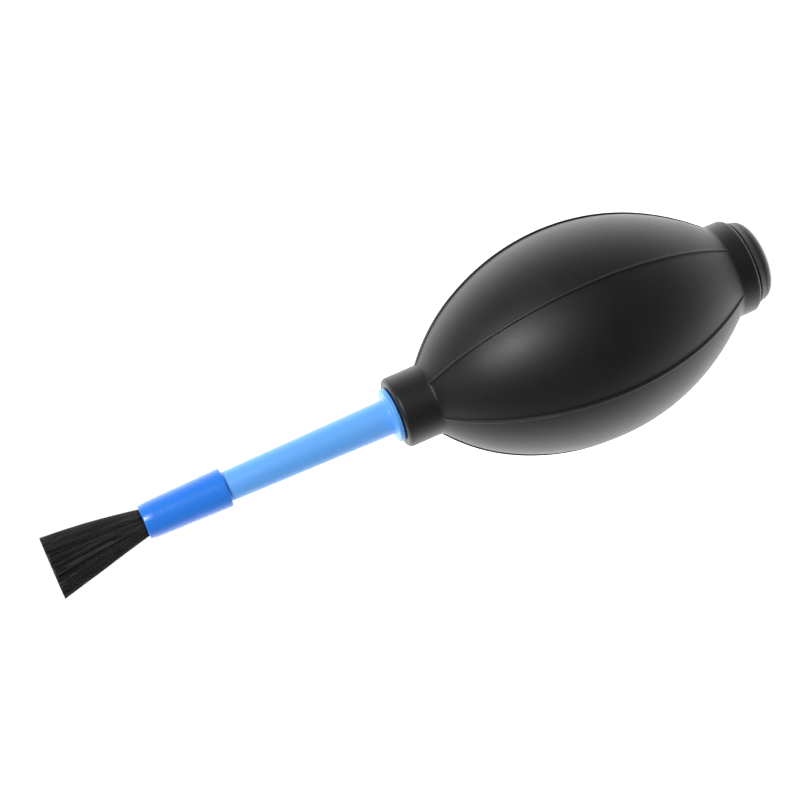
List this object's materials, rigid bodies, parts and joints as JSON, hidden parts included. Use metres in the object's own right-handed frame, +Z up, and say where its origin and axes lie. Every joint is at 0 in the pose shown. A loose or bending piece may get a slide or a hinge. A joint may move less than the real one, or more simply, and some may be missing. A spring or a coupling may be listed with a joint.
{
  "type": "dust blower bulb",
  "caption": "Ribbed rubber squeeze bulb with a tapered plastic nozzle, a slip-on round brush over its tip and a one-way intake valve under a domed rear cap.",
  "frame": {"origin": "centre of the flat on the rear cap's back, which the blower stands on", "axes": "+Z up along the bulb's axis from the rear cap to the brush, +X through one of the bulb's ribs"},
  "size_m": [0.0554, 0.0542, 0.1886],
  "materials": {
    "bulb_rubber": "moulded matte black rubber with a soft sheen",
    "nozzle_plastic": "satin light blue polyethylene",
    "ferrule_plastic": "glossy mid blue plastic",
    "tube_plastic": "natural plastic",
    "binding": "set adhesive",
    "bristles": "fine black hair with a slight sheen",
    "valve_plastic": "moulded black plastic",
    "disc_rubber": "soft silicone",
    "cap_plastic": "moulded matte black"
  },
  "bodies": {
    "root": {"bulb": "bulb_rubber", "valve_housing": "valve_plastic", "valve_cage": "valve_plastic", "rear_cap": "cap_plastic"},
    "nozzle": {"nozzle": "nozzle_plastic"},
    "brush": {"brush_ferrule": "ferrule_plastic", "brush_air_tube": "tube_plastic", "bristle_binding": "binding", "bristle_tuft": "bristles"},
    "valve_disc": {"valve_disc": "disc_rubber"}
  },
  "joints": [
    {"name": "nozzle_turn", "type": "hinge", "parent": "root", "child": "nozzle", "pos_m": [0, 0, 0.0996], "axis": [0, 0, 1], "continuous": true},
    {"name": "brush_pull", "type": "slide", "parent": "nozzle", "child": "brush", "axis": [0, 0, 1], "range_m": [0, 0.014]},
    {"name": "disc_lift", "type": "slide", "parent": "root", "child": "valve_disc", "axis": [0, 0, 1], "range_m": [0, 0.001]}
  ]
}
